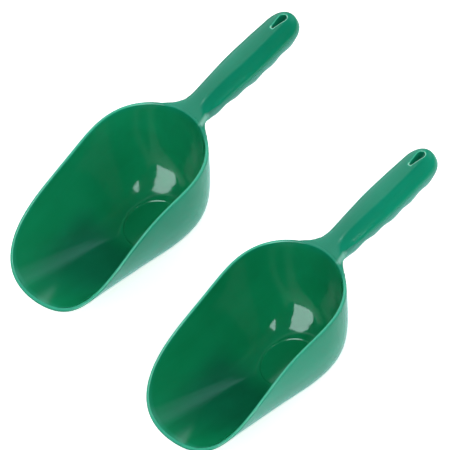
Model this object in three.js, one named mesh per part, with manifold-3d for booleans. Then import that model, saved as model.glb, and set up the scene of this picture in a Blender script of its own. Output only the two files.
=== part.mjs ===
// A pair of moulded plastic hand scoops for leaves, soil and compost.
// Each scoop is a deep bowl with a broad thin lip, standing on a round flat foot,
// and a short hollow handle closed from below by a finger-swelled grip cover.
// Units are millimetres. +X runs from the lip to the handle end, +Z up, and +Y to
// the right of a user who looks from the handle to the lip. Each scoop's own
// origin is below its rim centre. The feet of both scoops stand on Z = 0.

import * as THREE from 'three';
import { mergeVertices } from 'three/addons/utils/BufferGeometryUtils.js';
import Module from 'manifold-3d';

const { clamp, smoothstep } = THREE.MathUtils;

// ----------------------------------------------------------- bowl dimensions

// Inner rim outline of the bowl, seen from above, about the rim centre:
// x = sum of RIM_X[k] cos((k+1) a), y = sum of RIM_Y[k] sin((k+1) a).
// The first terms are half the length and half the width of the mouth, the
// higher terms square off the lip and round the back.
const RIM_X = [98.43, 1.45, -2.66, 1.89, -0.54, -0.36];
const RIM_Y = [61.26, 2.18, 4.80, 0.22, -1.82, -0.34];
const RIM_UNIT = 98.4;            // length unit of the rim height curve
const RIM_Z = [17.79, -15.77, 4.33];  // its linear, square and cubic terms
const WALL = 2.8;                 // wall thickness at the rim
const FLOOR = 2.6;                // floor thickness at the foot
const BOWL_DEPTH = 66.45;         // rim centre down to the inside floor
const FOOT_X = 28.75;             // centre of the round foot
const FOOT_R = 24.8;              // radius of the flat inside floor
const FOOT_EDGE = 2.2;            // the foot underneath is wider by this
// Wall section from the foot to the rim: a conic whose corner stands at a fraction
// of the run and whose weight sets how full the corner is. Both vary with the
// direction from the foot: steep at the sides, a long ramp towards the lip.
// Terms in cos(0), cos(dir), cos(2 dir), cos(3 dir); fullness is the log of the weight.
const CORNER = [0.6227, 0.1350, -0.3382, 0.0833];
const CORNER_MIN = 0.05;
const FULLNESS = [-0.1654, 0.4054, 0.5584, -0.0774];
const RIM_LEVEL = BOWL_DEPTH + FLOOR; // height of the rim centre above the ground
const CAVITY_HEADROOM = 30;       // the cavity cutter reaches this far above the rim
const BOWL_SEGMENTS = 44;
const WALL_LEVELS = 7;

// --------------------------------------------------------- handle dimensions

const AXIS_Z = RIM_LEVEL - 0.6;   // height of the handle axis
// [x, half width, height above the axis, depth below the axis,
// height of the widest line above the axis, squareness of the lower half].
// At the neck the handle spreads into a flange level with the rim, so the widest
// line climbs to the top and the underside turns into a keel.
const HANDLE = [
  [88.0, 36.0, 4.4, 20.0, 4.0, 1.2],
  [92.0, 32.6, 5.1, 16.5, 4.7, 1.2],
  [95.0, 28.2, 5.6, 14.2, 5.2, 1.2],
  [98.0, 23.9, 6.0, 12.4, 5.5, 1.2],
  [102.0, 19.6, 6.4, 10.7, 4.6, 1.25],
  [106.0, 17.3, 6.9, 9.8, 3.2, 1.4],
  [112.0, 15.3, 7.7, 9.15, 1.0, 1.9],
  [119.0, 14.65, 8.8, 8.75, 0.0, 2.25],
  [127.0, 14.9, 9.8, 9.0, 0.0, 2.25],
  [137.0, 15.5, 10.6, 9.7, 0.0, 2.25],
  [147.0, 16.1, 11.15, 10.5, 0.0, 2.25],
  [157.0, 16.75, 11.45, 11.3, 0.0, 2.25],
  [167.0, 16.9, 11.55, 11.7, 0.0, 2.25],
  [177.0, 16.75, 11.55, 11.65, 0.0, 2.25],
  [187.0, 16.55, 11.55, 11.45, 0.0, 2.25],
  [196.0, 16.15, 11.55, 11.1, 0.0, 2.25],
  [204.0, 15.8, 11.5, 10.6, 0.0, 2.25],
];
const UPPER_SQUARENESS = 2.25;    // 2 is a plain ellipse
const HANDLE_SEGMENTS = 20;
const BODY_STEP = 14;             // station spacing along the upper shell
const COVER_STEP = 5.1;           // closer along the cover, to follow the finger swells

// The tip is rounded off beyond the last station: flat on top, then dropping late,
// while the underside sweeps up early. Higher exponents turn in later.
const TIP_START_X = HANDLE[HANDLE.length - 1][0];
const TIP_END_X = 224.0;
const TIP_FRACTIONS = [0.3, 0.5, 0.7, 0.84, 0.93, 0.985];
const TIP_ROUND = { width: 2.2, top: 3.6, bottom: 1.4 };

// Finger swells under the handle, fading in and out over these X ranges
const FINGER_PITCH = 20.7;
const FINGER_FIRST_X = 119.7;
const FINGER_SWELL = 1.5;
const FINGER_FADE_IN = [106, 118];
const FINGER_FADE_OUT = [206, 216];
const FINGER_FOCUS = 1.2;         // exponent that gathers the swell at the underside

// Hollow of the handle
const SHELL = 2.2;                // wall of the upper shell
const COVER_WALL = 2.2;           // wall of the grip cover
const POCKET_START_X = 116.0;
const POCKET_START_INSET = 0.6;   // the first section is smaller by this
const POCKET_START_RUN = 2;       // least distance to the second section
const POCKET_SPACING = 9;         // least distance between later sections
const POCKET_FINGER_SPACING = 4.5;  // the same where it follows the finger swells
const POCKET_LAST_X = 207.0;      // the end is rounded off beyond this
const POCKET_END_X = TIP_END_X - SHELL - 1.2;
const POCKET_TIP_LIFT = 1.2;      // it lifts with the underside of the tip
// [fraction of the run to the end, size of the section]
const POCKET_TIP = [[0.6, 0.9], [0.88, 0.72], [1, 0.5]];
const POCKET_SEGMENTS = 12;

// Seam between the upper shell and the cover
const COVER_START_X = 108.3;      // the cover butts against the solid neck
const NECK_START_X = HANDLE[0][0] - 1;
const SEAM_ABOVE_AXIS = 1.6;
const SEAM_NECK_RISE = 3.8;       // the seam climbs by this at the neck
const SEAM_NECK_X = [102, 134];
const SEAM_STEP = 4;
const SEAM_GAP = 0.3;             // gap left along the seam
const SEAM_CUTTER = { startX: 70, endX: 240, halfWidth: 60, reach: 60 };

// Locating tongue of the cover, inside the upper shell. Heights are from the seam.
const TONGUE_TOP = 2.4;
const TONGUE_BOTTOM = -3.0;
const TONGUE_WALL = 1.4;
const TONGUE_GAP = 0.3;           // gap between the tongue and the upper shell
const ROOT_TOP = -1.2;            // below this a root joins the tongue to the cover
const ROOT_OVERLAP = 0.4;         // the root enters the cover's wall by this

// Hang hole: a teardrop, its point towards the bowl
const HOLE_WIDE_X = 213.9;
const HOLE_WIDE_R = 3.6;
const HOLE_WIDE_STEPS = 12;
const HOLE_POINT_X = 202.4;
const HOLE_POINT_R = 1.2;
const HOLE_POINT_STEPS = 4;
const BOSS_WALL = 2.0;
const BOSS_GAP = 0.5;

// The second scoop stands beside the first, a little further towards the lip
const PAIR_DX = -33.8;
const PAIR_DY = -204.6;

// ------------------------------------------------------------------- helpers

const wasm = await Module();
wasm.setup();

function solid(geometry) {
  geometry.deleteAttribute('normal');
  geometry.deleteAttribute('uv');
  const merged = mergeVertices(geometry, 1e-5);
  return new wasm.Manifold(new wasm.Mesh({
    numProp: 3,
    vertProperties: new Float32Array(merged.attributes.position.array),
    triVerts: new Uint32Array(merged.index.array),
  }));
}

function geometryOf(manifold) {
  const mesh = manifold.getMesh();
  const geometry = new THREE.BufferGeometry();
  const positions = new Float32Array(mesh.vertProperties);
  geometry.setAttribute('position', new THREE.BufferAttribute(positions, 3));
  geometry.setIndex(new THREE.BufferAttribute(new Uint32Array(mesh.triVerts), 1));
  geometry.computeVertexNormals();
  return geometry;
}

// Closed body through a stack of rings with equal point counts. Every ring is
// mirror-symmetric about Y = 0 with point 0 on the mirror plane, and both ends
// are closed by strips that join mirrored points.
function ringBody(rings) {
  const count = rings[0].length;
  const points = rings.flat();
  const index = [];
  for (let r = 0; r + 1 < rings.length; r++) {
    const near = r * count, far = near + count;
    for (let i = 0; i < count; i++) {
      const j = (i + 1) % count;
      index.push(near + i, near + j, far + j, near + i, far + j, far + i);
    }
  }

  const cap = (base, addFace) => {
    for (let i = 0; i < count / 2; i++) {
      const start = base + i;
      const next = start + 1;
      const nextMirrored = base + ((count - i - 1) % count);
      const startMirrored = base + ((count - i) % count);
      if (next !== nextMirrored) addFace(start, next, nextMirrored);
      if (start !== startMirrored) addFace(start, nextMirrored, startMirrored);
    }
  };
  cap(0, (a, b, c) => index.push(a, c, b));
  cap((rings.length - 1) * count, (a, b, c) => index.push(a, b, c));

  // faces point out when the signed volume is positive
  let volume = 0;
  const cross = new THREE.Vector3();
  for (let t = 0; t < index.length; t += 3) {
    cross.crossVectors(points[index[t + 1]], points[index[t + 2]]);
    volume += points[index[t]].dot(cross);
  }
  if (volume < 0) {
    for (let t = 0; t < index.length; t += 3) {
      [index[t + 1], index[t + 2]] = [index[t + 2], index[t + 1]];
    }
  }
  const geometry = new THREE.BufferGeometry().setFromPoints(points);
  geometry.setIndex(index);
  return solid(geometry);
}

// Prism over an outline of [x, y] points, from Z = 0 up
function extrusion(outline, depth) {
  const shape = new THREE.Shape(outline.map(([x, y]) => new THREE.Vector2(x, y)));
  shape.closePath();
  return new THREE.ExtrudeGeometry(shape, { depth, bevelEnabled: false, steps: 1 });
}

// Block wider and taller than the handle, between two X positions
function handleBlock(startX, endX) {
  const block = new THREE.BoxGeometry(endX - startX, 100, 80);
  return solid(block.translate((startX + endX) / 2, 0, AXIS_Z));
}

// ---------------------------------------------------------------------- bowl

function rimHeight(x) {
  const u = x / RIM_UNIT;
  return RIM_LEVEL + RIM_Z[0] * u + RIM_Z[1] * u * u + RIM_Z[2] * u * u * u;
}

// Rim outline at an angle, moved outwards by offset
function rimPoint(angle, offset) {
  let x = 0, y = 0, slopeX = 0, slopeY = 0;
  for (let k = 0; k < RIM_X.length; k++) {
    const order = k + 1;
    const cos = Math.cos(order * angle), sin = Math.sin(order * angle);
    x += RIM_X[k] * cos;
    y += RIM_Y[k] * sin;
    slopeX -= RIM_X[k] * order * sin;
    slopeY += RIM_Y[k] * order * cos;
  }
  const length = Math.hypot(slopeX, slopeY);
  x += offset * slopeY / length;
  y -= offset * slopeX / length;
  return new THREE.Vector3(x, y, rimHeight(x));
}

function harmonics(terms, direction) {
  return terms.reduce((sum, term, k) => sum + term * Math.cos(k * direction), 0);
}

// Rings of the bowl's surface, from the rim down to the foot
function bowlRings({ offset, footZ, footR }) {
  const rings = [];
  for (let level = 0; level <= WALL_LEVELS; level++) {
    const t = 1 - level / WALL_LEVELS;
    const ring = [];
    for (let i = 0; i < BOWL_SEGMENTS; i++) {
      const rim = rimPoint(2 * Math.PI * i / BOWL_SEGMENTS, offset);
      const direction = Math.atan2(rim.y, rim.x - FOOT_X);
      const footX = FOOT_X + footR * Math.cos(direction);
      const footY = footR * Math.sin(direction);
      const corner = clamp(harmonics(CORNER, direction), CORNER_MIN, 1);
      const cornerX = footX + corner * (rim.x - footX);
      const cornerY = footY + corner * (rim.y - footY);
      const footShare = (1 - t) * (1 - t);
      const cornerShare = 2 * Math.exp(harmonics(FULLNESS, direction)) * t * (1 - t);
      const rimShare = t * t;
      const total = footShare + cornerShare + rimShare;
      const conic = (atFoot, atCorner, atRim) =>
        (footShare * atFoot + cornerShare * atCorner + rimShare * atRim) / total;
      ring.push(new THREE.Vector3(
        conic(footX, cornerX, rim.x),
        conic(footY, cornerY, rim.y),
        conic(footZ, footZ, rim.z),
      ));
    }
    rings.push(ring);
  }
  return rings;
}

function bowlOuter() {
  return ringBody(bowlRings({ offset: WALL, footZ: 0, footR: FOOT_R + FOOT_EDGE }));
}

function bowlCavity() {
  const rings = bowlRings({ offset: 0, footZ: FLOOR, footR: FOOT_R });
  const lifted = rings[0].map((p) => new THREE.Vector3(p.x, p.y, p.z + CAVITY_HEADROOM));
  return ringBody([lifted, ...rings]);
}

// -------------------------------------------------------------------- handle

// Handle sizes at x, between the rows of HANDLE or on the rounded tip
function station(x) {
  let i = 0;
  while (i + 2 < HANDLE.length && HANDLE[i + 1][0] < x) i++;
  const before = HANDLE[i], after = HANDLE[i + 1];
  const f = Math.min(1, (x - before[0]) / (after[0] - before[0]));
  const row = before.map((value, k) => value + f * (after[k] - value));
  let [, halfWidth, top, bottom, equator, squareness] = row;
  if (x > TIP_START_X) {
    const along = (x - TIP_START_X) / (TIP_END_X - TIP_START_X);
    const round = (n) => Math.pow(Math.max(0, 1 - Math.pow(along, n)), 1 / n);
    halfWidth *= round(TIP_ROUND.width);
    top *= round(TIP_ROUND.top);
    bottom *= round(TIP_ROUND.bottom);
  }
  return { x, halfWidth, top, bottom, equator, squareness };
}

function handleStations() {
  const tipRun = TIP_END_X - TIP_START_X;
  const tipXs = TIP_FRACTIONS.map((fraction) => TIP_START_X + fraction * tipRun);
  return [...HANDLE.map((row) => row[0]), ...tipXs].map(station);
}

// The handle's stations with extra ones between them, about one step apart
function denseStations(step) {
  const base = handleStations();
  const dense = [];
  for (let i = 0; i + 1 < base.length; i++) {
    const startX = base[i].x, run = base[i + 1].x - startX;
    const count = Math.max(1, Math.round(run / step));
    for (let k = 0; k < count; k++) dense.push(station(startX + k / count * run));
  }
  dense.push(base[base.length - 1]);
  return dense;
}

function swell(x) {
  const fade = smoothstep(x, ...FINGER_FADE_IN) * (1 - smoothstep(x, ...FINGER_FADE_OUT));
  return FINGER_SWELL * fade * Math.cos(2 * Math.PI * (x - FINGER_FIRST_X) / FINGER_PITCH);
}

// Outline across the handle, set in from the outside by inset, underneath by lowerInset
function section(at, { inset, lowerInset, count, fingers }) {
  const ring = [];
  const halfWidth = at.halfWidth - inset;
  const rise = at.top - inset - at.equator;
  const fall = at.bottom - lowerInset + at.equator;
  for (let i = 0; i < count; i++) {
    const angle = 2 * Math.PI * i / count + Math.PI / 2;
    const cos = Math.cos(angle), sin = Math.sin(angle);
    const exponent = 2 / (sin >= 0 ? UPPER_SQUARENESS : at.squareness);
    const y = halfWidth * Math.sign(cos) * Math.pow(Math.abs(cos), exponent);
    const reach = sin >= 0 ? rise : fall;
    let z = at.equator + reach * Math.sign(sin) * Math.pow(Math.abs(sin), exponent);
    if (sin < 0 && fingers) z -= swell(at.x) * Math.pow(-sin, FINGER_FOCUS);
    // points on the mirror plane are set exactly on it
    ring.push(new THREE.Vector3(at.x, Math.abs(y) < 1e-9 ? 0 : y, AXIS_Z + z));
  }
  return ring;
}

function handleOuter(step) {
  const outline = { inset: 0, lowerInset: 0, count: HANDLE_SEGMENTS, fingers: true };
  return ringBody(denseStations(step).map((at) => section(at, outline)));
}

// The hollow of the handle, smaller than the outside by the wall, then by inset.
// With fingers it follows the finger swells, so the cover's wall stays even.
function handlePocket({ inset = 0, lowerWall = COVER_WALL, fingers = false } = {}) {
  const startX = POCKET_START_X + inset;
  const pocketSection = (at, extra, swelled) => section(at, {
    inset: SHELL + inset + extra,
    lowerInset: lowerWall + inset + extra,
    count: POCKET_SEGMENTS,
    fingers: swelled,
  });
  const rings = [pocketSection(station(startX), POCKET_START_INSET, false)];
  const spacing = fingers ? POCKET_FINGER_SPACING : POCKET_SPACING;
  let previousX = startX + POCKET_START_RUN - spacing;
  for (const at of (fingers ? denseStations(COVER_STEP) : handleStations())) {
    if (at.x > POCKET_LAST_X || at.x - previousX < spacing) continue;
    previousX = at.x;
    rings.push(pocketSection(at, 0, fingers));
  }
  const lastRing = rings[rings.length - 1];
  const lastX = lastRing[0].x;
  const run = POCKET_END_X - inset - lastX;
  for (const [fraction, size] of POCKET_TIP) {
    rings.push(lastRing.map((p) => new THREE.Vector3(
      lastX + run * fraction,
      p.y * size,
      AXIS_Z + (p.z - AXIS_Z) * size + POCKET_TIP_LIFT * fraction,
    )));
  }
  return ringBody(rings);
}

function seamHeight(x) {
  const neck = 1 - smoothstep(x, ...SEAM_NECK_X);
  return AXIS_Z + SEAM_ABOVE_AXIS + SEAM_NECK_RISE * neck;
}

// Everything on one side of the seam, the seam moved up by shift
function seamSide(shift, limitZ) {
  const { startX, endX, halfWidth } = SEAM_CUTTER;
  const seamPoint = (x) => [x, seamHeight(x) + shift];
  const outline = [[startX, limitZ], [endX, limitZ], seamPoint(endX)];
  for (let x = SEAM_NECK_X[1]; x >= SEAM_NECK_X[0]; x -= SEAM_STEP) outline.push(seamPoint(x));
  outline.push(seamPoint(startX));
  const geometry = extrusion(outline, 2 * halfWidth);
  // the drawing plane becomes XZ, the depth runs along Y
  geometry.rotateX(Math.PI / 2);
  geometry.translate(0, halfWidth, 0);
  return solid(geometry);
}

const aboveSeam = (shift) => seamSide(shift, AXIS_Z + SEAM_CUTTER.reach);
const belowSeam = (shift) => seamSide(shift, AXIS_Z - SEAM_CUTTER.reach);

// Vertical teardrop prism round the hang hole, grown by grow, reaching
// the given distances below and above the handle axis
function teardrop({ grow, below, above }) {
  const wideR = HOLE_WIDE_R + grow, pointR = HOLE_POINT_R + grow;
  // tangent points lie at the angle PI - tilt from the +X direction
  const tilt = Math.acos((wideR - pointR) / (HOLE_WIDE_X - HOLE_POINT_X));
  const tangent = Math.PI - tilt;
  const outline = [];
  const addArc = (centreX, radius, start, sweep, steps) => {
    for (let i = 0; i <= steps; i++) {
      const angle = start + sweep * i / steps;
      outline.push([centreX + radius * Math.cos(angle), radius * Math.sin(angle)]);
    }
  };
  addArc(HOLE_WIDE_X, wideR, -tangent, 2 * tangent, HOLE_WIDE_STEPS);
  addArc(HOLE_POINT_X, pointR, tangent, 2 * tilt, HOLE_POINT_STEPS);
  return solid(extrusion(outline, below + above).translate(0, 0, AXIS_Z - below));
}

// -------------------------------------------------------------------- pieces

const outer = handleOuter(BODY_STEP);
const outerBelow = handleOuter(COVER_STEP);
const hangHole = teardrop({ grow: 0, below: 40, above: 40 });

// Bowl, solid neck and the handle's upper shell with the boss of the hang hole
function makeBody() {
  const shell = outer.intersect(aboveSeam(0)).subtract(handlePocket());
  // the boss's foot follows the handle's underside and stops above the cover's floor
  const bossFoot = outerBelow.translate([0, 0, COVER_WALL + BOSS_GAP]);
  const boss = teardrop({ grow: BOSS_WALL, below: 20, above: 30 })
    .intersect(outer)
    .intersect(bossFoot);
  // the neck is solid down to the underside, as far as the cover
  const neck = outer.intersect(handleBlock(NECK_START_X, COVER_START_X - SEAM_GAP));
  return bowlOuter()
    .add(shell.add(boss))
    .add(neck)
    .subtract(bowlCavity())
    .subtract(hangHole);
}

// Tongue inside the upper shell, and the root that joins it to the cover
function makeTongue() {
  const inside = handlePocket({ inset: TONGUE_GAP + TONGUE_WALL });
  const underTongue = belowSeam(TONGUE_BOTTOM);
  const tongue = handlePocket({ inset: TONGUE_GAP })
    .subtract(inside)
    .intersect(belowSeam(TONGUE_TOP).subtract(underTongue));
  const root = handlePocket({ inset: -ROOT_OVERLAP, lowerWall: COVER_WALL - ROOT_OVERLAP })
    .subtract(inside)
    .intersect(belowSeam(ROOT_TOP).subtract(underTongue));
  return { tongue, root };
}

function makeCover() {
  // the hollow stays above the cover's floor where the underside turns up at the
  // handle's end
  const aboveFloor = outerBelow.translate([0, 0, COVER_WALL]);
  const hollow = handlePocket({ fingers: true }).intersect(aboveFloor);
  const { tongue, root } = makeTongue();
  const bossClearance = teardrop({ grow: BOSS_WALL + BOSS_GAP, below: 20, above: 40 })
    .intersect(aboveFloor);
  return outerBelow.intersect(belowSeam(-SEAM_GAP))
    .subtract(hollow)
    .add(tongue)
    .add(root)
    .subtract(handleBlock(COVER_START_X - 60, COVER_START_X))
    .subtract(bossClearance)
    .subtract(hangHole);
}

// ------------------------------------------------------------------ assembly

const bodyShape = makeBody();
const coverShape = makeCover();

const PLASTIC = { color: 0x0c8562, roughness: 0.26, metalness: 0.0 };
const COVER_PLASTIC = { color: 0x0b7d5c, roughness: 0.3, metalness: 0.0 };

function makePiece(name, shape, material) {
  const mesh = new THREE.Mesh(geometryOf(shape), new THREE.MeshStandardMaterial(material));
  mesh.name = name;
  return mesh;
}

function makeScoop(prefix) {
  const scoop = new THREE.Group();
  scoop.add(
    makePiece(`${prefix}_body`, bodyShape, PLASTIC),
    makePiece(`${prefix}_grip_cover`, coverShape, COVER_PLASTIC),
  );
  return scoop;
}

const group = new THREE.Group();
const secondScoop = makeScoop('scoop_b');
secondScoop.position.set(PAIR_DX, PAIR_DY, 0);
group.add(makeScoop('scoop_a'), secondScoop);

// the origin is the centre of the pair's footprint, on the ground
const box = new THREE.Box3().setFromObject(group);
group.position.set(-(box.min.x + box.max.x) / 2, -(box.min.y + box.max.y) / 2, 0);
group.updateMatrixWorld(true);

export default group;
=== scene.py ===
"""A pair of moulded green plastic hand scoops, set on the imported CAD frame.

One scoop is modelled in millimetres in its own frame: the flat foot of the bowl at z = 0, the
bowl open upwards, the handle along +X. It is then scaled to metres and placed twice.
"""

import math

import bpy
import numpy as np
from mathutils import Matrix, Vector
from mathutils.kdtree import KDTree


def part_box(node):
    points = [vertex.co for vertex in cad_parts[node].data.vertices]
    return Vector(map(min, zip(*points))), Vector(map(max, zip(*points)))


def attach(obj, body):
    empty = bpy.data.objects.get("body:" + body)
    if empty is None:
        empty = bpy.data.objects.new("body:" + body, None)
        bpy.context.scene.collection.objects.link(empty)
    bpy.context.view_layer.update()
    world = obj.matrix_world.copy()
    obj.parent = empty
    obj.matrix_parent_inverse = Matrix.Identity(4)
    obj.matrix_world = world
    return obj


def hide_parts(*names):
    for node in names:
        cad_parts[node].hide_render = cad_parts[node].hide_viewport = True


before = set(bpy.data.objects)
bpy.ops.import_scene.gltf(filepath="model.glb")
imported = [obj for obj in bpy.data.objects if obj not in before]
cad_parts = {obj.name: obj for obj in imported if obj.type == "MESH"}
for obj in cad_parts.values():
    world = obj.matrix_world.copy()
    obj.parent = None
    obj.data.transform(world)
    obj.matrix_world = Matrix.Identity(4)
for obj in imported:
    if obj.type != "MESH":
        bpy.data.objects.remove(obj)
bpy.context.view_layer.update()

MM = 0.001

# ------------------------------------------------------------------ bowl dimensions (mm)
# The rim seen from above: x is a sum of cosines and y of sines, from the first harmonic on.
RIM_X = [98.43, 1.45, -2.66, 1.89, -0.54, -0.36]
RIM_Y = [61.26, 2.18, 4.80, 0.22, -1.82, -0.34]
# Rim height over RIM_LEVEL: a cubic in x / RIM_UNIT, linear term first.
RIM_UNIT = 98.4
RIM_Z = [17.79, -15.77, 4.33]
RIM_ROUNDING = 0.9
RIM_POWER = 2.5             # squareness of the rim's rounding
WALL = 2.8
FLOOR = 2.6
FLOOR_RECESS = 0.55
BOWL_DEPTH = 66.45
RIM_LEVEL = BOWL_DEPTH + FLOOR
FOOT_X = 28.75              # centre of the round foot
FOOT_R = 24.8
FOOT_EDGE = 2.2             # how much wider the foot is outside than inside
# The wall's profile by direction from the foot's centre, as cosine series from the constant on:
CORNER = [0.6227, 0.1350, -0.3382, 0.0833]        # how far out the curve's control point lies
FULLNESS = [-0.1654, 0.4054, 0.5584, -0.0774]     # log of that point's weight
CAVITY_GROW = 1.3           # the handle is cut back to this far inside the wall
CLEARANCE = 40.0            # how far cutting tools reach past what they cut

# ------------------------------------------------------------------ handle dimensions (mm)
AXIS_Z = RIM_LEVEL - 0.6
# x, half width, height above and depth below the axis, height of the widest line,
# squareness underneath
HANDLE = np.array([
    [86.0, 37.0, 4.1, 22.0, 3.6, 1.2],
    [92.0, 32.6, 5.1, 16.5, 4.7, 1.2],
    [95.0, 28.2, 5.6, 14.2, 5.2, 1.2],
    [98.0, 23.9, 6.0, 12.4, 5.5, 1.2],
    [102.0, 19.6, 6.4, 10.7, 4.6, 1.25],
    [106.0, 17.3, 6.9, 9.8, 3.2, 1.4],
    [112.0, 15.3, 7.7, 9.15, 1.0, 1.9],
    [119.0, 14.65, 8.8, 8.75, 0.0, 2.25],
    [127.0, 14.9, 9.8, 9.0, 0.0, 2.25],
    [137.0, 15.5, 10.6, 9.7, 0.0, 2.25],
    [147.0, 16.1, 11.15, 10.5, 0.0, 2.25],
    [157.0, 16.75, 11.45, 11.3, 0.0, 2.25],
    [167.0, 16.9, 11.55, 11.7, 0.0, 2.25],
    [177.0, 16.75, 11.55, 11.65, 0.0, 2.25],
    [187.0, 16.55, 11.55, 11.45, 0.0, 2.25],
    [196.0, 16.15, 11.55, 11.1, 0.0, 2.25],
    [204.0, 15.8, 11.5, 10.6, 0.0, 2.25],
])
HANDLE_START_X = HANDLE[0, 0]
TIP_START_X = HANDLE[-1, 0]
HANDLE_END_X = 224.0
TIP_ROUND = (2.2, 3.6, 1.4)           # squareness of the tip in width, top and underside
SQUARE = 2.25                         # squareness of the section's upper half
BODY_WALL = 2.2
COVER_WALL = 2.2
POCKET_START_X = 116.0
POCKET_STRAIGHT_END_X = 207.0
COVER_START_X = 108.0
SEAM_ABOVE_AXIS = 1.6
SEAM_NECK_RISE = 3.8                  # extra height of the seam towards the bowl
SEAM_NECK_X = (102.0, 134.0)          # where that rise fades out
SEAM_GAP = 0.3
FINGER_PITCH = 20.7
FINGER_FIRST_X = 119.7
FINGER_SWELL = 1.5
FINGER_FADE_IN = (106, 118)
FINGER_FADE_OUT = (206, 216)
# The hang hole is a teardrop: a wide and a narrow circle and their tangents.
HOLE_WIDE_X, HOLE_WIDE_R = 213.9, 3.6
HOLE_POINT_X, HOLE_POINT_R = 202.4, 1.2
# Rounding of its mouths: growth of the outline, height outside the skin
MOUTH = [
    (0.0, -3.0), (0.0, -1.0), (0.05, -0.66), (0.17, -0.38), (0.36, -0.17),
    (0.62, -0.04), (0.95, 0.02), (1.5, 0.5), (2.2, 4.0),
]
BOSS_WALL = 2.0
BOSS_GAP = 0.5

# ------------------------------------------------------------------ mesh resolution
N_RIM = 224                 # points round the bowl
N_WALL = 44                 # steps up the bowl's wall
N_UP, N_LOW = 56, 44        # points of a handle section above and below the seam
N_COVER_LOW = N_UP + 12     # the cover's outer arc and its flat top
N_COVER_TOP = N_LOW - 12
N_POCKET = 64
NECK_STEP = 0.8
BODY_STEP = 1.8
POCKET_STEP = 2.6
TIP_FRACTIONS = (
    0.0, 0.05, 0.1, 0.15, 0.2, 0.25, 0.3, 0.36, 0.42, 0.48, 0.54, 0.6, 0.66, 0.72, 0.78,
    0.83, 0.87, 0.905, 0.935, 0.958, 0.976, 0.988, 0.996,
)


def smoothstep(x, a, b):
    t = min(1.0, max(0.0, (x - a) / (b - a)))
    return t * t * (3 - 2 * t)


# ------------------------------------------------------------------ mesh helpers
def new_object(name, verts, faces):
    mesh = bpy.data.meshes.new(name)
    mesh.from_pydata([tuple(v) for v in verts], [], [tuple(f) for f in faces])
    mesh.validate()
    mesh.update()
    ob = bpy.data.objects.new(name, mesh)
    bpy.context.scene.collection.objects.link(ob)
    return ob


def signed_volume(verts, faces):
    v = np.asarray(verts)
    total = 0.0
    for f in faces:
        for k in range(1, len(f) - 1):
            total += np.dot(v[f[0]], np.cross(v[f[k]], v[f[k + 1]])) / 6
    return total


def loft(rings):
    """Closed body through rings of equal count. A ring of one repeated point becomes a pole."""
    n = len(rings[0])
    verts, index = [], []
    for ring in rings:
        ring = np.asarray(ring)
        if np.ptp(ring, axis=0).max() < 1e-6:
            verts.append(ring[0])
            index.append([len(verts) - 1] * n)
        else:
            start = len(verts)
            verts.extend(ring)
            index.append(list(range(start, start + n)))
    faces = []
    for a, b in zip(index[:-1], index[1:]):
        for i in range(n):
            j = (i + 1) % n
            quad = [a[i], a[j], b[j], b[i]]
            face = [v for k, v in enumerate(quad) if v != quad[k - 1]]
            if len(face) >= 3:
                faces.append(face)
    for ids, flip in ((index[0], True), (index[-1], False)):
        if len(set(ids)) > 1:
            centre = len(verts)
            verts.append(np.mean([verts[i] for i in ids], axis=0))
            for i in range(n):
                j = (i + 1) % n
                faces.append([ids[j], ids[i], centre] if flip else [ids[i], ids[j], centre])
    if signed_volume(verts, faces) < 0:
        faces = [f[::-1] for f in faces]
    return verts, faces


def boolean(target, operation, name, solid):
    """Apply a solid (vertices and faces) to the target and discard it."""
    tool = new_object(name, *solid)
    boolean_object(target, operation, tool)


def boolean_object(target, operation, tool):
    mod = target.modifiers.new("cut", "BOOLEAN")
    mod.operation = operation
    mod.object = tool
    # EXACT takes over where MANIFOLD leaves nothing
    for solver in ("MANIFOLD", "EXACT"):
        mod.solver = solver
        depsgraph = bpy.context.evaluated_depsgraph_get()
        made = bpy.data.meshes.new_from_object(target.evaluated_get(depsgraph))
        if len(made.polygons):
            break
    target.modifiers.clear()
    old = target.data
    target.data = made
    bpy.data.meshes.remove(old)
    bpy.data.objects.remove(tool)


# ------------------------------------------------------------------ bowl
RIM_ANGLES = [2 * math.pi * i / N_RIM for i in range(N_RIM)]


def rim_height(x):
    u = x / RIM_UNIT
    return RIM_LEVEL + RIM_Z[0] * u + RIM_Z[1] * u * u + RIM_Z[2] * u**3


def rim_point(angle, offset):
    """Point of the rim's inner outline, moved outwards by offset."""
    x = sum(c * math.cos(k * angle) for k, c in enumerate(RIM_X, 1))
    y = sum(c * math.sin(k * angle) for k, c in enumerate(RIM_Y, 1))
    dx = -sum(c * k * math.sin(k * angle) for k, c in enumerate(RIM_X, 1))
    dy = sum(c * k * math.cos(k * angle) for k, c in enumerate(RIM_Y, 1))
    length = math.hypot(dx, dy)
    x, y = x + offset * dy / length, y - offset * dx / length
    return np.array([x, y, rim_height(x)])


def cosine_series(factors, angle):
    return sum(c * math.cos(k * angle) for k, c in enumerate(factors))


def from_foot(point):
    """Direction of a point from the foot's centre."""
    return math.atan2(point[1], point[0] - FOOT_X)


def wall_point(angle, t, offset, foot_z, foot_r, rim_drop=0.0):
    """Point of the wall's rational quadratic curve, from the foot (t = 0) to the rim (t = 1)."""
    rim = rim_point(angle, offset)
    rim[2] -= rim_drop
    d = from_foot(rim)
    edge = np.array([FOOT_X + foot_r * math.cos(d), foot_r * math.sin(d), foot_z])
    corner = min(1.0, max(0.05, cosine_series(CORNER, d)))
    weight = math.exp(cosine_series(FULLNESS, d))
    mid = np.array([
        edge[0] + corner * (rim[0] - edge[0]), edge[1] + corner * (rim[1] - edge[1]), foot_z])
    p0, p1, p2 = (1 - t) ** 2, 2 * weight * t * (1 - t), t * t
    return (p0 * edge + p1 * mid + p2 * rim) / (p0 + p1 + p2)


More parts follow.
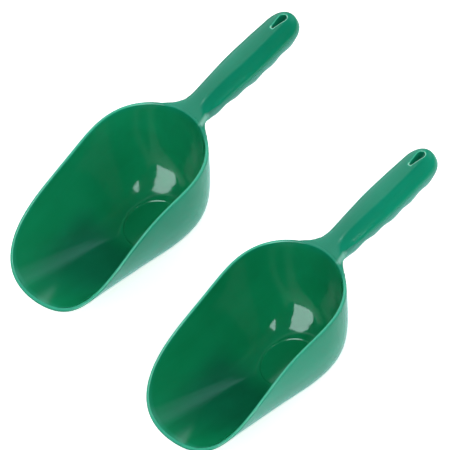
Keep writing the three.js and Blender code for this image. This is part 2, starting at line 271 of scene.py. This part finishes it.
def disc(r, z):
    """Circle about the foot's centre, its points in line with the rim's."""
    directions = [from_foot(rim_point(a, 0.0)) for a in RIM_ANGLES]
    return [(FOOT_X + r * math.cos(d), r * math.sin(d), z) for d in directions]


def wall_ring(k, offset, foot_z, foot_r, rim_drop=0.0):
    return [wall_point(a, k / N_WALL, offset, foot_z, foot_r, rim_drop) for a in RIM_ANGLES]


def bowl_inner_rings():
    """The floor's shallow round recess, its softened step, then the wall up to the rim."""
    rings = [disc(r, FLOOR - FLOOR_RECESS) for r in (0.0, 5.0, 11.0, 17.0, 21.5, FOOT_R - 1.5)]
    for f in (0.12, 0.3, 0.5, 0.7, 0.88):
        s = f * f * (3 - 2 * f)
        rings.append(disc(FOOT_R - 1.2 + 1.0 * f, FLOOR - FLOOR_RECESS * (1 - s)))
    for k in range(N_WALL + 1):
        rings.append(wall_ring(k, 0.0, FLOOR, FOOT_R, RIM_ROUNDING))
    return rings


def bowl_outer_rings():
    """Over the rounded rim, down the outside and under the foot."""
    rings = []
    for k in range(1, 10):
        f = k / 10
        bulge = (1 - abs(2 * f - 1) ** RIM_POWER) ** (1 / RIM_POWER)
        ring = []
        for a in RIM_ANGLES:
            inner, outer = rim_point(a, 0.0), rim_point(a, WALL)
            p = inner + (outer - inner) * f
            p[2] += -RIM_ROUNDING + RIM_ROUNDING * bulge
            ring.append(p)
        rings.append(ring)
    for k in range(N_WALL, -1, -1):
        rings.append(wall_ring(k, WALL, 0.0, FOOT_R + FOOT_EDGE, RIM_ROUNDING))
    # the foot has a faint sunk centre: radius, height
    for r, z in ((FOOT_R - 2.0, 0.0), (FOOT_R - 2.6, 0.25), (FOOT_R - 3.4, 0.35),
                 (12.0, 0.35), (0.0, 0.35)):
        rings.append(disc(r, z))
    return rings


def cavity_solid():
    """The inside of the bowl, a little grown and open far above the rim."""
    rings = [wall_ring(k, CAVITY_GROW, FLOOR - CAVITY_GROW, FOOT_R) for k in range(N_WALL + 1)]
    rings.append([p + np.array([0, 0, CLEARANCE]) for p in rings[-1]])
    return loft(rings)


# ------------------------------------------------------------------ handle sections
def pchip(xs, ys, x):
    """Monotone cubic through the stations, so the handle's outline has no kinks."""
    h = np.diff(xs)
    slope = np.diff(ys) / h
    m = np.zeros_like(ys)
    m[0], m[-1] = slope[0], slope[-1]
    for i in range(1, len(xs) - 1):
        before, after = slope[i - 1], slope[i]
        m[i] = 0.0 if before * after <= 0 else (h[i - 1] + h[i]) * 3 / (
            (2 * h[i] + h[i - 1]) / before + (h[i] + 2 * h[i - 1]) / after)
    i = int(np.clip(np.searchsorted(xs, x) - 1, 0, len(xs) - 2))
    t = (x - xs[i]) / h[i]
    return ((2 * t**3 - 3 * t**2 + 1) * ys[i] + (t**3 - 2 * t**2 + t) * h[i] * m[i]
            + (-2 * t**3 + 3 * t**2) * ys[i + 1] + (t**3 - t**2) * h[i] * m[i + 1])


def station(x):
    """Half width, height above and depth below the axis, widest line, squareness underneath."""
    values = [float(pchip(HANDLE[:, 0], HANDLE[:, k], min(x, TIP_START_X))) for k in range(1, 6)]
    if x > TIP_START_X:
        g = min(1.0, (x - TIP_START_X) / (HANDLE_END_X - TIP_START_X))
        for k, n in enumerate(TIP_ROUND):
            values[k] *= max(1e-5, 1 - g**n) ** (1 / n)
    return values


def swell(x):
    """Depth of the finger waves along the underside."""
    fade = smoothstep(x, *FINGER_FADE_IN) * (1 - smoothstep(x, *FINGER_FADE_OUT))
    return FINGER_SWELL * fade * math.cos(2 * math.pi * (x - FINGER_FIRST_X) / FINGER_PITCH)


def seam_height(x):
    return AXIS_Z + SEAM_ABOVE_AXIS + SEAM_NECK_RISE * (1 - smoothstep(x, *SEAM_NECK_X))


def section_point(x, angle, inset=0.0, lower_inset=0.0, waves=True):
    """Point of the handle's outline at an angle (0 = +Y, 90 degrees = top)."""
    width, top, bottom, equator, square = station(x)
    width -= inset
    rise = top - inset - equator
    fall = bottom - lower_inset + equator
    c, s = math.cos(angle), math.sin(angle)
    power = 2 / (SQUARE if s >= 0 else square)
    y = width * math.copysign(abs(c) ** power, c)
    z = equator + (rise if s >= 0 else fall) * math.copysign(abs(s) ** power, s)
    if s < 0 and waves:
        z -= swell(x) * (-s) ** 1.2
    return np.array([x, y, AXIS_Z + z])


def seam_angle(x, gap=0.0):
    """Angle at which the outline meets the seam, or a line gap below it."""
    _, top, _, equator, _ = station(x)
    height = seam_height(x) - gap - AXIS_Z - equator
    rise = max(1e-4, top - equator)
    return math.asin((min(max(0.0, height), 0.97 * rise) / rise) ** (SQUARE / 2))


def upper_arc(x):
    start = seam_angle(x)
    end = math.pi - start
    return [section_point(x, start + (end - start) * i / (N_UP - 1)) for i in range(N_UP)]


def seam_line(x, y_from, y_to, z, count):
    """Points across the handle between two ends, closer together towards the ends."""
    points = []
    for i in range(count):
        f = (i + 1) / (count + 1)
        y = y_from + (y_to - y_from) * (0.5 - 0.5 * math.cos(math.pi * f))
        points.append(np.array([x, y, z]))
    return points


def upper_ring(x):
    """Closed section above the seam: the outer arc, then back along the seam."""
    arc = upper_arc(x)
    return arc + seam_line(x, arc[-1][1], arc[0][1], min(seam_height(x), arc[-1][2]), N_LOW)


def full_ring(x):
    """The whole section with the same point order as upper_ring."""
    a = seam_angle(x)
    low = []
    for i in range(N_LOW):
        f = (i + 1) / (N_LOW + 1)
        low.append(section_point(x, math.pi - a + (math.pi + 2 * a) * f))
    return upper_arc(x) + low


def body_stations():
    xs = list(np.arange(COVER_START_X + BODY_STEP, TIP_START_X, BODY_STEP))
    run = HANDLE_END_X - TIP_START_X
    return xs + [TIP_START_X + run * f for f in TIP_FRACTIONS]


def tip_ring(ring, x):
    """A pole at x that closes the ring before it."""
    tip = np.mean(ring, axis=0)
    tip[0] = x
    return [tip] * len(ring)


# ------------------------------------------------------------------ handle solids
def handle_solid():
    """The neck, from inside the bowl's wall to the cover, and the handle above the seam."""
    rings = [full_ring(x) for x in np.arange(HANDLE_START_X, COVER_START_X - 0.4, NECK_STEP)]
    # the end face of the recess the cover fits in
    rings.append(full_ring(COVER_START_X - 0.05))
    rings += [upper_ring(x) for x in [COVER_START_X] + body_stations()]
    rings.append(tip_ring(rings[-1], HANDLE_END_X))
    return loft(rings)


def cover_ring(x, shrink=0.0):
    """Closed section below the seam, set in a little from the body so that the seam shows."""
    a = seam_angle(x, SEAM_GAP)
    width, _, bottom = station(x)[:3]
    z_top = seam_height(x) - SEAM_GAP
    low = []
    for i in range(N_COVER_LOW):
        f = i / (N_COVER_LOW - 1)
        p = section_point(x, math.pi - a + (math.pi + 2 * a) * f)
        depth = max(0.0, z_top - p[2])
        set_in = 0.38 * math.exp(-depth / 1.6) + 0.03
        p[1] *= max(0.0, 1 - (set_in + shrink) / max(2.0, width))
        if shrink:
            p[2] = AXIS_Z + (p[2] - AXIS_Z) * max(0.0, 1 - shrink / max(2.0, bottom))
        if depth < 0.5:                      # softened top edge
            soft = 0.35 * (1 - depth / 0.5) ** 2
            p[1] -= math.copysign(min(abs(p[1]), soft), p[1])
        low.append(p)
    return low + seam_line(x, low[-1][1], low[0][1], min(z_top, low[0][2]), N_COVER_TOP)


def cover_solid():
    """The underside of the grip, its bowl end closed with a small rounding."""
    start = COVER_START_X + SEAM_GAP
    # distance from the end face, shrinkage
    rounded = [cover_ring(start + run, shrink)
               for run, shrink in ((0.0, 0.45), (0.12, 0.18), (0.45, 0.0))]
    first = rounded[0]
    centre = np.mean(first, axis=0)
    rings = [[centre] * len(first), [centre + (p - centre) * 0.6 for p in first]] + rounded
    rings += [cover_ring(x) for x in body_stations() if x > start + 0.8]
    rings.append(tip_ring(rings[-1], HANDLE_END_X - 0.02))
    return loft(rings)


def pocket_solid(waves):
    """The hollow of the handle, with or without the finger waves underneath."""
    rings = []
    xs = np.arange(POCKET_START_X + 2.0, POCKET_STRAIGHT_END_X, POCKET_STEP)
    for i, x in enumerate([POCKET_START_X] + list(xs)):
        extra = 0.0 if i else 0.6            # the first section is drawn in a little
        rings.append([
            section_point(x, 2 * math.pi * j / N_POCKET, BODY_WALL + extra,
                          COVER_WALL + extra, waves)
            for j in range(N_POCKET)])
    last = rings[-1]
    start, end = last[0][0], HANDLE_END_X - BODY_WALL - 1.2
    for f in (0.15, 0.3, 0.45, 0.6, 0.72, 0.82, 0.9, 0.96, 1.0):
        k = math.sqrt(1 - f * f * 0.88)
        rings.append([
            np.array([start + (end - start) * f, p[1] * k, AXIS_Z + (p[2] - AXIS_Z) * k + 1.2 * f])
            for p in last])
    return loft(rings)


# ------------------------------------------------------------------ hang hole
def teardrop_outline(grow):
    wide_r, point_r = HOLE_WIDE_R + grow, HOLE_POINT_R + grow
    tilt = math.acos((wide_r - point_r) / (HOLE_WIDE_X - HOLE_POINT_X))

    def arc(centre_x, r, start, sweep, count):
        angles = [start + sweep * i / (count - 1) for i in range(count)]
        return [(centre_x + r * math.cos(a), r * math.sin(a)) for a in angles]

    def straight(p, q, count=10):
        fractions = [i / count for i in range(1, count)]
        return [(p[0] * (1 - f) + q[0] * f, p[1] * (1 - f) + q[1] * f) for f in fractions]

    wide = arc(HOLE_WIDE_X, wide_r, -(math.pi - tilt), 2 * (math.pi - tilt), 40)
    point = arc(HOLE_POINT_X, point_r, math.pi - tilt, 2 * tilt, 14)
    return wide + straight(wide[-1], point[0]) + point + straight(point[-1], wide[0])


def skin_height(x, y, side):
    """Height of the handle's top (side 1) or underside (side -1)."""
    width, top, bottom = station(min(x, HANDLE_END_X - 0.5))[:3]
    h = (1 - min(0.999, abs(y) / width) ** SQUARE) ** (1 / SQUARE)
    if side > 0:
        return AXIS_Z + top * h
    return AXIS_Z - bottom * h - swell(x) * h ** 1.35


def hole_cutter():
    """A teardrop shaft whose ends flare, so that the hole's edges come out rounded."""
    rings = []
    for side, profile in ((1, MOUTH[::-1]), (-1, MOUTH)):
        for grow, out in profile:
            rings.append([np.array([x, y, skin_height(x, y, side) + side * out])
                          for x, y in teardrop_outline(grow)])
    return loft(rings)


def boss_solid(lift, grow):
    """A teardrop column whose foot follows the handle's underside, lift above it."""
    outline = teardrop_outline(grow)
    centre_x = sum(x for x, y in outline) / len(outline)
    rings = []
    for k in (0.05, 0.35, 0.6, 0.8, 1.0):
        ring = [(centre_x + (x - centre_x) * k, y * k) for x, y in outline]
        rings.append([np.array([x, y, skin_height(x, y, -1) + lift]) for x, y in ring])
    rings.append([np.array([x, y, AXIS_Z + CLEARANCE]) for x, y in outline])
    return loft(rings)


# ------------------------------------------------------------------ the two pieces of a scoop
def build_body():
    """Bowl, neck and upper handle, hollowed round the boss."""
    body = new_object("body_work", *loft(bowl_inner_rings() + bowl_outer_rings()))
    handle = new_object("handle_tool", *handle_solid())
    boolean(handle, "DIFFERENCE", "cavity_tool", cavity_solid())
    boolean_object(body, "UNION", handle)
    pocket = new_object("pocket_tool", *pocket_solid(waves=False))
    boss = boss_solid(COVER_WALL + BOSS_GAP, BOSS_WALL)
    boolean(pocket, "DIFFERENCE", "boss_tool", boss)
    boolean_object(body, "DIFFERENCE", pocket)
    boolean(body, "DIFFERENCE", "hole_tool", hole_cutter())
    return body


def build_cover():
    """The shell underneath, with room for the body's boss."""
    cover = new_object("cover_work", *cover_solid())
    boolean(cover, "DIFFERENCE", "pocket_tool", pocket_solid(waves=True))
    boolean(cover, "DIFFERENCE", "boss_tool", boss_solid(COVER_WALL, BOSS_WALL + BOSS_GAP))
    boolean(cover, "DIFFERENCE", "hole_tool", hole_cutter())
    return cover


# ------------------------------------------------------------------ attributes for the shaders
# reach of the painted highlights along the rim and the hole's mouths, and the strength of the
# brightest painted glint
RIM_REACH = (0.5, 1.75)               # full effect within, none beyond
HOLE_REACH = (0.3, 0.9)
BRIGHTEST_GLINT = 2.4
# Painted highlight along the line where the neck's flange bends down to the bowl, on the -Y side
NECK_HIGHLIGHT_LINE = [np.array(p) for p in ((98.0, -18.8, 74.0), (103.0, -16.8, 73.5),
                                    (108.0, -14.8, 72.6))]


def search_tree(points):
    tree = KDTree(len(points))
    for i, p in enumerate(points):
        tree.insert(Vector(p), i)
    tree.balance()
    return tree


def highlight_edges():
    """Points along the rim's bead and the hole's two mouths, with each one's reach and painted
    highlight strength.
    """
    points, reach = [], []
    for i in range(1440):
        a = 2 * math.pi * i / 1440
        points.append((rim_point(a, 0.0) + rim_point(a, WALL)) / 2)
        reach.append((*RIM_REACH, 1.0))
    for side in (1, -1):
        for x, y in teardrop_outline(0.3):
            # the mouth's -Y side and its point get a brighter painted glint than the rest
            glint = BRIGHTEST_GLINT if y < -0.2 or x < HOLE_POINT_X + 0.3 else 1.0
            points.append(np.array([x, y, skin_height(x, y, side)]))
            reach.append((*HOLE_REACH, glint))
    return search_tree(points), reach


def bowl_sides():
    """The bowl's own vertices, marked inside (1) or outside (0)."""
    points, side = [], []
    for mark, rings in ((1, bowl_inner_rings()), (0, bowl_outer_rings())):
        for ring in rings:
            points.extend(ring)
            side.extend([mark] * len(ring))
    return search_tree(points), side


EDGE_TREE, EDGE_REACH = highlight_edges()
SIDE_TREE, SIDE = bowl_sides()


# painted highlight strength along the rim's bead and the hole's mouths
def edge_highlight(co):
    _, i, distance = EDGE_TREE.find(co)
    near, far, glint = EDGE_REACH[i]
    if co.x < 150 and abs(co.y) < 40:    # the rim runs flush into the neck's flange
        glint *= 1 - smoothstep(co.x, 84.0, 93.0)
    return glint * (1 - smoothstep(distance, near, far))


# painted highlight strength near the neck's flange line
def neck_highlight(co):
    point = np.array(co)
    distances = []
    for start, end in zip(NECK_HIGHLIGHT_LINE, NECK_HIGHLIGHT_LINE[1:]):
        run = end - start
        t = min(1.0, max(0.0, float((point - start) @ run / (run @ run))))
        distances.append(float(np.linalg.norm(point - start - t * run)))
    return 0.8 * (1 - smoothstep(min(distances), 0.6, 3.2))


def bowl_shade(co):
    """Where painted shade goes: 1 inside the bowl, up to 2 low down at its -X end."""
    _, i, distance = SIDE_TREE.find(co)
    below = rim_height(co.x) - co.z
    low = (1 - smoothstep(co.x, -15.0, 12.0)) * (1 - smoothstep(co.z, 16.0, 36.0))
    inside = SIDE[i] * (1 - smoothstep(distance, 1.0, 2.5))
    return inside * smoothstep(below, 0.2, 1.6) * (1 + low)


def finish_mesh(mesh):
    """Write the attributes, scale to metres and shade smooth."""
    for value_at in (edge_highlight, neck_highlight, bowl_shade):
        layer = mesh.attributes.new(value_at.__name__, "FLOAT", "POINT")
        for v, item in zip(mesh.vertices, layer.data):
            item.value = value_at(v.co)
    mesh.transform(Matrix.Scale(MM, 4))
    for p in mesh.polygons:
        p.use_smooth = True
    mesh.set_sharp_from_angle(angle=math.radians(38.0))
    mesh.update()


work_body = build_body()
work_cover = build_cover()
finish_mesh(work_body.data)
finish_mesh(work_cover.data)


# ------------------------------------------------------------------ shader helper
class Shader:
    """Fills a node tree. Every input may be a plain value or another node's output socket."""

    def __init__(self, owner):
        owner.use_nodes = True
        self.tree = owner.node_tree
        self.tree.nodes.clear()

    def node(self, kind, *by_place, props=None, **by_name):
        made = self.tree.nodes.new("ShaderNode" + kind)
        for key, value in (props or {}).items():
            setattr(made, key, value)
        named = {key.replace("_", " "): value for key, value in by_name.items()}
        for key, value in [*enumerate(by_place), *named.items()]:
            if isinstance(value, bpy.types.NodeSocket):
                self.tree.links.new(value, made.inputs[key])
            else:
                made.inputs[key].default_value = value
        return made

    def math(self, operation, *values):
        return self.node("Math", *values, props={"operation": operation}).outputs[0]

    def mul(self, a, b):
        return self.math("MULTIPLY", a, b)

    def add(self, a, b):
        return self.math("ADD", a, b)

    def mul_add(self, value, factor, addend):
        return self.math("MULTIPLY_ADD", value, factor, addend)

    def vector(self, operation, *values):
        return self.node("VectorMath", *values, props={"operation": operation})

    def remap(self, value, low, high, to_low=0.0, to_high=1.0, kind="LINEAR"):
        return self.node("MapRange", props={"interpolation_type": kind}, Value=value,
                         From_Min=low, From_Max=high, To_Min=to_low, To_Max=to_high).outputs[0]

    def step(self, value, a, b):
        """Smooth 0..1 ramp of the value from a to b (a may be above b)."""
        ends = (1.0, 0.0) if a > b else (0.0, 1.0)
        return self.remap(value, min(a, b), max(a, b), *ends, kind="SMOOTHSTEP")

    def mix(self, factor, a, b, blend="MIX"):
        return self.node("Mix", props={"data_type": "RGBA", "blend_type": blend},
                         Factor=factor, A=a, B=b).outputs["Result"]

    def noise(self, vector, scale, detail, roughness, distortion=0.0):
        return self.node("TexNoise", Vector=vector, Scale=scale, Detail=detail,
                         Roughness=roughness, Distortion=distortion).outputs[0]

    def mapping(self, vector, **inputs):
        return self.node("Mapping", vector, **inputs).outputs[0]

    def attribute(self, name):
        return self.node("Attribute", props={"attribute_name": name}).outputs["Fac"]


# ------------------------------------------------------------------ plastic
# painted highlight colours: on convex edges, at the neck's near corner, along the rim's bead and
# hole mouths, and the brightest painted glints
EDGE_HIGHLIGHT_TINT = (0.10, 0.50, 0.33, 1)
NECK_HIGHLIGHT_TINT = (0.27, 0.58, 0.47, 1)
RIM_GLOW_TINT = (0.06, 0.52, 0.33, 1)
GLINT_TINT = (0.42, 0.86, 0.66, 1)
# painted light and shade multiplied into the colour: lighter and cooler outside the bowl, shaded
# inside it, and shaded more at its deepest
OUTSIDE_PAINTED_LIGHT = (1.0, 1.08, 1.30, 1)
INSIDE_PAINTED_SHADE = (1.0, 0.99, 0.86, 1)
DEEPEST_PAINTED_SHADE = (1.0, 0.66, 0.68, 1)


def plastic_colour(sh, point, flow, edge, deep, light):
    """Slow colour drift, painted highlights on the edges, and painted shade inside the bowl
    against a painted lighter, cooler outside.
    """
    drift = sh.noise(point, scale=9.0, detail=3.0, roughness=0.5)
    ramp = sh.node("ValToRGB", sh.mul_add(flow, 0.45, drift))
    for element, position, colour in zip(ramp.color_ramp.elements, (0.42, 1.05), (deep, light)):
        element.position = position
        element.color = (*colour, 1)
    # painted highlight on convex edges
    tint = sh.mix(edge, ramp.outputs[0], EDGE_HIGHLIGHT_TINT)
    # painted shade inside the bowl, deeper still low down at its -X end, and a painted lighter,
    # cooler tone outside it
    hollow = sh.attribute("bowl_shade")
    inside_shade = sh.mix(hollow, OUTSIDE_PAINTED_LIGHT, INSIDE_PAINTED_SHADE)
    deepest_shade = sh.mix(sh.remap(hollow, low=1.0, high=2.0), inside_shade, DEEPEST_PAINTED_SHADE)
    shaded = sh.mix(1.0, tint, deepest_shade, blend="MULTIPLY")
    # painted highlight at the neck's near corner
    spot = sh.mix(sh.attribute("neck_highlight"), shaded, NECK_HIGHLIGHT_TINT)
    # painted highlights: a pale painted glow along the rim's bead and the hole's mouths, and
    # brighter painted glints on the hole's -Y side and point
    edge_glow = sh.attribute("edge_highlight")
    pale = sh.mix(sh.remap(edge_glow, low=1.0, high=BRIGHTEST_GLINT), RIM_GLOW_TINT, GLINT_TINT)
    return sh.mix(edge_glow, spot, pale)


def plastic_roughness(sh, point, scuffs, edge, rough):
    """The polish drifts, scuffs dull it and edges are duller."""
    polish = sh.noise(point, scale=22.0, detail=2.0, roughness=0.5)
    drifting = sh.remap(polish, low=0.3, high=0.7, to_low=rough - 0.035, to_high=rough + 0.045)
    return sh.mul_add(edge, 0.18, sh.mul_add(scuffs, 0.10, drifting))


def plastic(name, deep, light, rough, seed):
    """Glossy injection-moulded plastic with flow lines, handling scuffs and painted highlights on
    its edges.
    """
    mat = bpy.data.materials.new(name)
    sh = Shader(mat)
    point = sh.mapping(sh.node("TexCoord").outputs["Object"],
                       Location=(seed * 0.37, seed * 0.11, 0))
    # flow lines of the melt, drawn out along the handle
    flow = sh.noise(sh.mapping(point, Scale=(6.0, 42.0, 42.0)),
                    scale=1.0, detail=4.0, roughness=0.55, distortion=0.6)
    # convex edges, for a painted highlight in the colour and a duller roughness
    pointiness = sh.node("NewGeometry").outputs["Pointiness"]
    edge = sh.mul(sh.remap(pointiness, low=0.53, high=0.66), 0.35)
    # hairline scuffs, askew
    hair = sh.mapping(point, Scale=(90.0, 700.0, 300.0), Rotation=(0.1, 0.2, 0.5))
    scuffs = sh.remap(sh.noise(hair, scale=1.0, detail=2.0, roughness=0.7), low=0.60, high=0.78)
    # the faint orange peel of a mould
    peel = sh.noise(point, scale=170.0, detail=2.0, roughness=0.45)

    relief = {}
    # height, strength, distance in metres
    for height, strength, distance in (
            (peel, 0.10, 0.0003), (flow, 0.10, 0.0008), (scuffs, 0.05, 0.0002)):
        bump = sh.node("Bump", Height=height, Strength=strength, Distance=distance, **relief)
        relief = {"Normal": bump.outputs[0]}
    surface = sh.node(
        "BsdfPrincipled",
        Base_Color=plastic_colour(sh, point, flow, edge, deep, light),
        Roughness=plastic_roughness(sh, point, scuffs, edge, rough),
        IOR=1.46,
        Subsurface_Weight=0.25,
        Subsurface_Radius=(0.4, 1.0, 0.7),
        Subsurface_Scale=0.002,
        **relief)
    sh.node("OutputMaterial", surface.outputs[0])
    return mat


mat_body = plastic("green_plastic_body", deep=(0.002, 0.190, 0.080),
                   light=(0.006, 0.290, 0.140), rough=0.095, seed=0.0)
# the cover's paler, greyer colour is a painted reflection of the pale floor on the strip under the
# seam
mat_cover = plastic("green_plastic_cover", deep=(0.040, 0.215, 0.125),
                    light=(0.065, 0.300, 0.185), rough=0.13, seed=3.1)


# ------------------------------------------------------------------ place both scoops on the frame
def place(work, name, replaced, body, shift, material):
    mesh = work.data.copy()
    mesh.name = name
    mesh.transform(Matrix.Translation(shift))
    ob = bpy.data.objects.new(name, mesh)
    bpy.context.scene.collection.objects.link(ob)
    mesh.materials.clear()
    mesh.materials.append(material)
    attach(ob, body)
    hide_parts(replaced)


shifts = {}
for tag in ("a", "b"):
    scoop = f"scoop_{tag}"
    lo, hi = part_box(f"{scoop}_body")
    shift = shifts[tag] = (hi.x - HANDLE_END_X * MM, (lo.y + hi.y) / 2, 0)
    place(work_body, f"{scoop}_moulding", f"{scoop}_body", scoop,
          shift, mat_body)
    place(work_cover, f"{scoop}_grip", f"{scoop}_grip_cover", scoop,
          shift, mat_cover)
bpy.data.objects.remove(work_body)
bpy.data.objects.remove(work_cover)

# ------------------------------------------------------------------ floor (metres)
FLOOR_HALF = 4
FLOOR_Z = -0.0002
FLOOR_GLOW = 0.30
FLOOR_FAR = (0.24, 0.50)                  # where the floor darkens in reflections
GLOW_ON_SCOOPS = (0.42, 1.12, 1.22, 1)
GLOW_TO_CAMERA = (2.1, 2.1, 2.1, 1)


def floor_material():
    """Pale and faintly glowing, but dark in reflections of its distant part."""
    mat = bpy.data.materials.new("pale_floor")
    sh = Shader(mat)
    path = sh.node("LightPath").outputs
    position = sh.node("NewGeometry").outputs["Position"]
    far = sh.step(sh.vector("LENGTH", position).outputs["Value"], *FLOOR_FAR)
    glossy_far = sh.mul(far, path["Is Glossy Ray"])
    pale = sh.node("BsdfDiffuse", Color=(0.90, 0.90, 0.90, 1))
    glow = sh.node("Emission",
                   Color=sh.mix(path["Is Camera Ray"], GLOW_ON_SCOOPS, GLOW_TO_CAMERA),
                   Strength=sh.mul_add(glossy_far, -0.8 * FLOOR_GLOW, FLOOR_GLOW))
    lit = sh.node("AddShader", pale.outputs[0], glow.outputs[0])
    dark = sh.node("BsdfDiffuse", Color=(0.12, 0.12, 0.12, 1))
    surface = sh.node("MixShader", glossy_far, lit.outputs[0], dark.outputs[0])
    sh.node("OutputMaterial", surface.outputs[0])
    return mat


floor_corners = [(i * FLOOR_HALF, j * FLOOR_HALF, FLOOR_Z)
                 for i, j in ((-1, -1), (1, -1), (1, 1), (-1, 1))]
floor = new_object("floor", floor_corners, [(0, 1, 2, 3)])
floor.data.materials.append(floor_material())

# ------------------------------------------------------------------ camera
AZIMUTH, ELEVATION, ROLL = (math.radians(v) for v in (-24.632, 48.248, -24.7265))
VIEW_WIDTH = 369.0                        # mm across the picture at the aim
SENSOR, LENS = 36.0, 1500.0
# The aim, from scoop a's origin at rim level: mm to the right, up and towards the camera
AIM = (98.8452, -22.0732, -39.36)

back = Vector((math.sin(AZIMUTH) * math.cos(ELEVATION), -math.cos(AZIMUTH) * math.cos(ELEVATION),
               math.sin(ELEVATION)))
level_x = Vector((math.cos(AZIMUTH), math.sin(AZIMUTH), 0))
level_y = back.cross(level_x)
image_x = level_x * math.cos(ROLL) + level_y * math.sin(ROLL)
image_y = level_y * math.cos(ROLL) - level_x * math.sin(ROLL)
origin = Vector((*shifts["a"][:2], RIM_LEVEL * MM))
aim = origin + (image_x * AIM[0] + image_y * AIM[1] + back * AIM[2]) * MM
distance = VIEW_WIDTH * MM * LENS / SENSOR

cam_data = bpy.data.cameras.new("camera")
cam_data.sensor_width = SENSOR
cam_data.lens = LENS
cam_data.clip_start, cam_data.clip_end = 0.1, 60.0
cam = bpy.data.objects.new("camera", cam_data)
bpy.context.scene.collection.objects.link(cam)
rotation = Matrix((image_x, image_y, back)).transposed()
cam.matrix_world = Matrix.Translation(aim + back * distance) @ rotation.to_4x4()
bpy.context.scene.camera = cam

# ------------------------------------------------------------------ light
# A pale room with two large soft windows on the -X and -Y sides and a bright wall beyond the
# handles. Directions are azimuth from +X and elevation, in degrees.
WINDOW_SOFT = 1.2                         # width of a window's soft border
LOW, HIGH = (-30, 32), (32, 64)           # bands of elevation

world = bpy.data.worlds.new("studio")
bpy.context.scene.world = world
sky = Shader(world)
generated = sky.node("TexCoord").outputs["Generated"]
ray = sky.vector("NORMALIZE", generated).outputs[0]
axes = sky.node("SeparateXYZ", ray).outputs
azimuth = sky.mul(sky.math("ARCTAN2", axes["Y"], axes["X"]), 180 / math.pi)
elevation = sky.mul(sky.math("ARCSINE", axes["Z"]), 180 / math.pi)


def direction(a, e):
    a, e = math.radians(a), math.radians(e)
    return Vector((math.cos(e) * math.cos(a), math.cos(e) * math.sin(a), math.sin(e)))


def window(*corners):
    """1 inside the corners (azimuth, elevation), with a soft border."""
    points = [direction(*c) for c in corners]
    middle = sum(points, Vector()).normalized()
    soft = math.radians(WINDOW_SOFT) / 2
    mask = None
    for p, q in zip(points, points[1:] + points[:1]):
        normal = p.cross(q).normalized()
        if normal.dot(middle) < 0:
            normal = -normal
        side = sky.step(sky.vector("DOT_PRODUCT", ray, normal).outputs["Value"], -soft, soft)
        mask = side if mask is None else sky.mul(mask, side)
    return mask


def patch(a0, a1, e0, e1, soft_a=8, soft_e=6):
    """Soft-edged box in azimuth and elevation."""
    across = sky.mul(sky.step(azimuth, a0 - soft_a, a0 + soft_a),
                     sky.step(azimuth, a1 + soft_a, a1 - soft_a))
    upward = sky.mul(sky.step(elevation, e0 - soft_e, e0 + soft_e),
                     sky.step(elevation, e1 + soft_e, e1 - soft_e))
    return sky.mul(across, upward)


def patch_180(band):
    """Patch round azimuth 180, where the angle wraps."""
    reach = 150 if band == LOW else 135
    return sky.add(patch(reach, 200, *band), patch(-200, -reach, *band))


# where it is, its brightness seen in reflections, its brightness as a lamp
ROOM = {
    "window_1": (sky.math(
        "MAXIMUM",
        window((-160, 8.5), (-150, 50), (170, 81), (143, 57), (168, 8.5)),
        window((170, 81), (84, 62), (143, 57))), 7.2, 1.05),
    "window_2": (window((-106.5, 17), (-86.5, 61.5), (-82.5, 47), (-82.5, 15)), 7.4, 1.3),
    "wall_far": (patch(41, 90, -30, 68, soft_a=4, soft_e=5), 1.0, 1.25),
    "wall_end": (patch(-12, 25, -30, 43, soft_a=7, soft_e=3), 0.85, 0.9),
    "overhead": (sky.step(elevation, 58, 70), 0.12, 0.0),
    "low_0": (patch(-30, 30, *LOW), 0.12, 1.5),
    "low_60": (patch(30, 90, *LOW), 0.12, 2.0),
    "low_120": (patch(90, 150, *LOW), 0.10, 0.02),
    "low_180": (patch_180(LOW), 0.10, 0.02),
    "low_-120": (patch(-150, -90, *LOW), 0.04, 0.70),
    "low_-60": (patch(-90, -30, *LOW), 0.04, 0.60),
    "high_0": (patch(-45, 45, *HIGH), 0.12, 0.02),
    "high_90": (patch(45, 135, *HIGH), 0.12, 0.02),
    "high_180": (patch_180(HIGH), 0.12, 0.40),
    "high_-90": (patch(-135, -45, *HIGH), 0.05, 1.8),
}
sky_path = sky.node("LightPath").outputs
is_glossy = sky_path["Is Glossy Ray"]
light = sky.add(0.0, 0.0)
# a reflection of a reflection is dulled by the second surface's scuffs
second = sky.step(sky_path["Glossy Depth"], 1.2, 1.8)
reflected = sky.mul(is_glossy, sky.mul_add(second, -0.5, 1.0))
for mask, seen, lamp in ROOM.values():
    level = sky.add(lamp, sky.mul_add(reflected, seen, sky.mul(is_glossy, -lamp)))
    light = sky.mul_add(mask, level, light)
world.cycles.sampling_method = "NONE"

# reflections are tinted cool, less so in the windows and on the walls
warm = sky.add(sky.mul(ROOM["wall_far"][0], 0.7), sky.mul(ROOM["wall_end"][0], 0.15))
glass = sky.mix(sky.add(sky.add(ROOM["window_1"][0], ROOM["window_2"][0]), warm),
                (0.45, 1.0, 1.15, 1), (0.82, 1.0, 1.04, 1))
room = sky.node("Background", Color=sky.mix(is_glossy, (1, 1, 1, 1), glass), Strength=light)
# past the floor's edge the camera sees a plain pale backdrop
backdrop = sky.node("Background", Color=(1, 1, 1, 1), Strength=1.1)
view = sky.node("MixShader", sky_path["Is Camera Ray"], room.outputs[0], backdrop.outputs[0])
sky.node("OutputWorld", view.outputs[0])

bpy.context.scene.view_settings.view_transform = "Standard"
